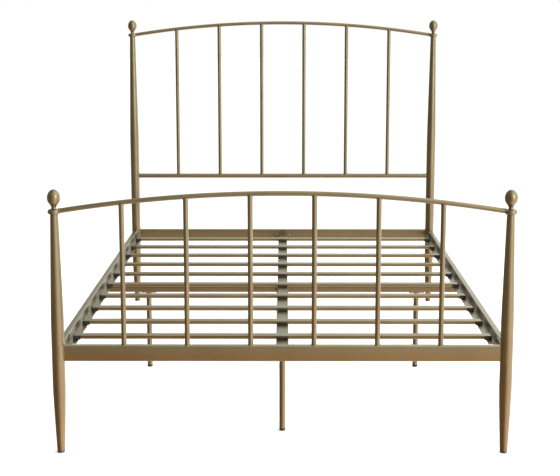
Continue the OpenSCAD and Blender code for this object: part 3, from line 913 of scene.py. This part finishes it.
def arch_beads(bm, panel):
    """Round each spindle top, and where the arch rail runs into both collars."""
    y = panel_y(panel)
    for i in SPINDLES:
        x = centre(f"{panel}_spindle_{i}").x
        points = []
        for a in ring_angles():
            offset = SPINDLE_R * math.sin(a)
            drop = math.sqrt(max(ARCH_TUBE_R ** 2 - offset ** 2, SPINDLE_LIP ** 2))
            around = x + SPINDLE_R * math.cos(a)
            points.append(Vector((around, y + offset, arch_z(panel, around) - drop)))
        bead(bm, points, Z)
    collar = size(f"{panel}_collar_left")
    half = collar.z / 2
    for side in (-1, 1):
        points = []
        for a in ring_angles():
            offset, up = ARCH_TUBE_R * math.cos(a), ARCH_TUBE_R * math.sin(a)
            edge = collar.x / 2 - half + math.sqrt(half ** 2 - up ** 2)
            x = side * (HALF_X - math.sqrt(edge ** 2 - offset ** 2) - BEAD_OUTSET)
            points.append(Vector((x, y + offset, arch_z(panel, x) + up)))
        bead(bm, points, X)


def spindle_foot_beads(bm):
    """Round the spindles' lower ends, on the headboard's cross tube and the footboard's rail, and round
    the cross tube's ends on the posts."""
    for i in SPINDLES:
        upper, lower = centre(f"headboard_spindle_{i}"), centre(f"footboard_spindle_{i}")
        on_tube, on_rail = [], []
        for a in ring_angles():
            along, across = SPINDLE_R * math.cos(a), SPINDLE_R * math.sin(a)
            rise = math.sqrt(CROSS_TUBE_R ** 2 - across ** 2)
            on_tube.append(Vector((upper.x + along, upper.y + across, CROSS_TUBE_Z + rise)))
            on_rail.append(Vector((lower.x + along, lower.y + across, RAIL_TOP)))
        bead(bm, on_tube, Z)
        bead(bm, on_rail, Z)
    for side in (-1, 1):
        points = []
        for a in ring_angles():
            across, up = CROSS_TUBE_R * math.cos(a), CROSS_TUBE_R * math.sin(a)
            x = side * (HALF_X - math.sqrt(POST_R ** 2 - across ** 2))
            points.append(Vector((x, HALF_Y + across, CROSS_TUBE_Z + up)))
        bead(bm, points, X)


def saddle_beads(bm, steps=24):
    """Along the upper and lower edges of each saddle plate, and round the rail that butts on it."""
    r = POST_R + SADDLE / 2
    rail_z = (RAIL_LOW + RAIL_TOP) / 2
    for side in (-1, 1):
        for end in (-1, 1):
            for z in (RAIL_LOW, RAIL_TOP):
                points = []
                for a in spaced(-SADDLE_HALF_ANGLE, SADDLE_HALF_ANGLE, steps):
                    x = side * (HALF_X - r * math.cos(a))
                    points.append(Vector((x, end * HALF_Y + r * math.sin(a), z)))
                bead(bm, points, Z, closed=False, radius=SADDLE_BEAD_R)
            points = []
            for across, up, _ in rounded_outline(RAIL_THICK, RAIL_TOP - RAIL_LOW, RAIL_CORNER_R):
                points.append(Vector((side * rail_reach(across), end * HALF_Y + across, rail_z + up)))
            sweep(bm, points, RAIL_BEAD_R, X, closed=True)


def tab_beads(bm, steps=20):
    """Upright beads where both faces of each bolting tab meet its saddle plate."""
    heights = spaced(bottom("rail_tabs") + TAB_BEAD_GAP, top("rail_tabs") - TAB_BEAD_GAP, steps)
    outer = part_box("rail_tabs")[1].x
    for side in (-1, 1):
        for end in (-1, 1):
            for x in (outer, outer - TAB):
                y = HALF_Y - math.sqrt(SADDLE_R ** 2 - (HALF_X - x) ** 2)
                points = [Vector((side * x, end * y, z)) for z in heights]
                bead(bm, points, X, closed=False, radius=TAB_BEAD_R)


def ledge_beads(bm, steps=14):
    """Stitch welds between each slat ledge and its side rail."""
    rail_x = HALF_X - RAIL_THICK / 2
    count = int(size("slat_ledge_left").y / STITCH_PITCH)
    for side in (-1, 1):
        for i in range(count):
            middle = (i - (count - 1) / 2) * STITCH_PITCH
            ys = spaced(middle - STITCH_LENGTH / 2, middle + STITCH_LENGTH / 2, steps)
            points = [Vector((side * rail_x, y, DECK_Z)) for y in ys]
            bead(bm, points, X, closed=False, radius=LEDGE_BEAD_R)


def base_beads(bm):
    """Round the legs under their plates, and round the bars where they butt on their end plates."""
    legs = [f"center_leg_{place}" for place in ("front", "middle", "rear")]
    legs += [f"side_leg_{side}" for side in SIDES]
    for node in legs:
        leg = Vector((centre(node).x, centre(node).y, top(node) - PLATE))
        bead(bm, [leg + LEG_R * (math.cos(a) * X + math.sin(a) * Y) for a in ring_angles()], Z)
    for end in (-1, 1):
        butt = Vector((0, end * (HALF_Y - RAIL_THICK / 2 - PLATE), (DECK_Z + RAIL_LOW) / 2))
        outline = rounded_outline(CENTER_RAIL_WIDTH, DECK_Z - RAIL_LOW, RAIL_CORNER_R)
        sweep(bm, [butt + x * X + up * Z for x, up, _ in outline], BAR_BEAD_R, Y, closed=True)
    bar = centre("cross_bar_left")
    for side in (-1, 1):
        for x in (CENTER_RAIL_WIDTH / 2 + PLATE, HALF_X - RAIL_THICK / 2 - PLATE):
            butt = Vector((side * x, bar.y, bar.z))
            outline = rounded_outline(CROSS_BAR_WIDTH, size("cross_bar_left").z, RAIL_CORNER_R)
            sweep(bm, [butt + y * Y + up * Z for y, up, _ in outline], BAR_BEAD_R, X, closed=True)


def make_beads():
    """One piece for each kind of weld."""
    groups = {
        "headboard_welds": lambda bm: arch_beads(bm, "headboard"),
        "footboard_welds": lambda bm: arch_beads(bm, "footboard"),
        "spindle_foot_welds": spindle_foot_beads,
        "saddle_welds": saddle_beads,
        "tab_welds": tab_beads,
        "ledge_welds": ledge_beads,
        "base_welds": base_beads,
    }
    for name, build in groups.items():
        bm = bmesh.new()
        build(bm)
        finish_piece(name, bm, COAT)


# ---------------------------------------------------------------- all the pieces

for panel in PANELS:
    for side in SIDES:
        make_post(panel, side)
        make_collar(panel, side)
        make_finial(panel, side)
    make_arch(panel)
    make_end_rail(panel)
    for i in SPINDLES:
        make_spindle(panel, i)
for side in SIDES:
    make_side_rail(side)
    make_cross_bar(side)
    make_ledge(side)
make_center_rail()
make_slats()
make_end_caps()
make_center_clips()
for name in FEET:
    make_leveling_foot(name)
make_rail_bolts()
make_beads()

# CAD nodes that stay: merged at their seams, softened at their edges, and given their finish
slot_of = {part["node"]: part["material_slot"] for part in frame["record"]["subparts"]}
for name, node in nodes.items():
    if node.hide_render:
        continue
    node.data.materials.clear()
    node.data.materials.append(FINISH[slot_of[name]])
    node.modifiers.new("seams", "WELD").merge_threshold = CAD_SEAM
    soften(node, STEEL_EDGE)


# ---------------------------------------------------------------- floor, surround, lights and camera

def make_floor():
    """Pale floor that fades into plain white away from the bed. Shiny surfaces don't see it."""
    mesh = bpy.data.meshes.new("floor")
    bm = bmesh.new()
    corners = rectangle(-FLOOR_HALF, FLOOR_HALF, -FLOOR_HALF, FLOOR_HALF)
    bm.faces.new([bm.verts.new((x, y, 0)) for x, y in corners])
    bm.to_mesh(mesh)
    bm.free()
    material, tree, principled, coords = shader("pale_floor")
    principled.inputs["Base Color"].default_value = (0.90, 0.90, 0.90, 1)
    principled.inputs["Roughness"].default_value = 0.9
    emission = tree.nodes.new("ShaderNodeEmission")
    emission.inputs["Strength"].default_value = FLOOR_GLOW
    distance = tree.nodes.new("ShaderNodeVectorMath")
    distance.operation = "LENGTH"
    tree.links.new(coords, distance.inputs[0])
    fade = spread(tree, distance.outputs["Value"], *FLOOR_FADE, 0, 1)
    mixer = tree.nodes.new("ShaderNodeMixShader")
    tree.links.new(fade, mixer.inputs["Fac"])
    tree.links.new(principled.outputs["BSDF"], mixer.inputs[1])
    tree.links.new(emission.outputs["Emission"], mixer.inputs[2])
    tree.links.new(mixer.outputs["Shader"], tree.nodes["Material Output"].inputs["Surface"])
    mesh.materials.append(material)
    floor = link("floor", mesh)
    floor.visible_glossy = False
    floor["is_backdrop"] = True


def area_light(name, place, target, width, height, watts, glossy=True):
    """Rectangular light at place that faces target. glossy says whether it shows in reflections."""
    data = bpy.data.lights.new(name, "AREA")
    data.shape = "RECTANGLE"
    data.size, data.size_y = width, height
    data.energy = watts
    light = link(name, data)
    light.location = place
    light.rotation_euler = (Vector(target) - Vector(place)).to_track_quat("-Z", "Y").to_euler()
    light.visible_camera = False
    light.visible_glossy = glossy


def make_world():
    """White behind the object. Light and reflections come from a surround that is dim and yellowish on
    the left and bright on the right. It is dimmer and faintly green from the horizon up, brighter again
    overhead, and orange in a band below the horizon."""
    world = bpy.data.worlds.new("studio")
    bpy.context.scene.world = world
    world.use_nodes = True
    tree = world.node_tree
    axes = tree.nodes.new("ShaderNodeSeparateXYZ")
    tree.links.new(tree.nodes.new("ShaderNodeTexCoord").outputs["Generated"], axes.inputs["Vector"])
    under_top = spread(tree, axes.outputs["Z"], *WARM_TOP_BAND, 1, 0, smooth=True)
    over_bottom = spread(tree, axes.outputs["Z"], *WARM_BOTTOM_BAND, 0, 1, smooth=True)
    less_on_right = spread(tree, axes.outputs["X"], *WARM_SIDE_BAND, 1, WARM_RIGHT_SHARE, smooth=True)
    warm = multiply(tree, multiply(tree, under_top, over_bottom), less_on_right)
    right = spread(tree, axes.outputs["X"], *SIDE_BAND, 0, 1, smooth=True)
    above = spread(tree, axes.outputs["Z"], *HORIZON_BAND, 0, HORIZON_TINT_SHARE, smooth=True)
    tint = mix(tree, above, mix(tree, right, LEFT_TINT, (1.0, 1.0, 1.0)), HORIZON_TINT)
    surround = tree.nodes["Background"]
    tree.links.new(mix(tree, warm, tint, WARM_LIGHT), surround.inputs["Color"])
    side = spread(tree, axes.outputs["X"], *SIDE_BAND, *SIDE_LIGHT, smooth=True)
    level = spread(tree, axes.outputs["Z"], *HORIZON_BAND, 1, HORIZON_DIM, smooth=True)
    ceiling = spread(tree, axes.outputs["Z"], *CEILING_BAND, 1, CEILING_GAIN, smooth=True)
    tree.links.new(multiply(tree, side, multiply(tree, level, ceiling)), surround.inputs["Strength"])
    backdrop = tree.nodes.new("ShaderNodeBackground")
    backdrop.inputs["Color"].default_value = (1, 1, 1, 1)
    path = tree.nodes.new("ShaderNodeLightPath")
    mixer = tree.nodes.new("ShaderNodeMixShader")
    tree.links.new(path.outputs["Is Camera Ray"], mixer.inputs["Fac"])
    tree.links.new(surround.outputs["Background"], mixer.inputs[1])
    tree.links.new(backdrop.outputs["Background"], mixer.inputs[2])
    tree.links.new(mixer.outputs["Shader"], tree.nodes["World Output"].inputs["Surface"])


def make_camera():
    data = bpy.data.cameras.new("camera")
    data.sensor_width = CAMERA_SENSOR
    data.lens = CAMERA_LENS
    data.shift_y = CAMERA_SHIFT
    data.clip_end = CAMERA_FAR
    camera = link("camera", data)
    camera.location = CAMERA_PLACE
    camera.rotation_euler = (math.radians(90 - CAMERA_DOWN), 0, math.radians(CAMERA_TURN))
    bpy.context.scene.camera = camera


make_floor()
make_world()
area_light("key", **KEY_LIGHT)
area_light("overhead", **OVERHEAD_LIGHT, glossy=False)
make_camera()
bpy.context.scene.view_settings.view_transform = "Standard"

boxes = {"cad": cad_box, "visual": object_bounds()}
{name: [list(corner) for corner in box] for name, box in boxes.items()}
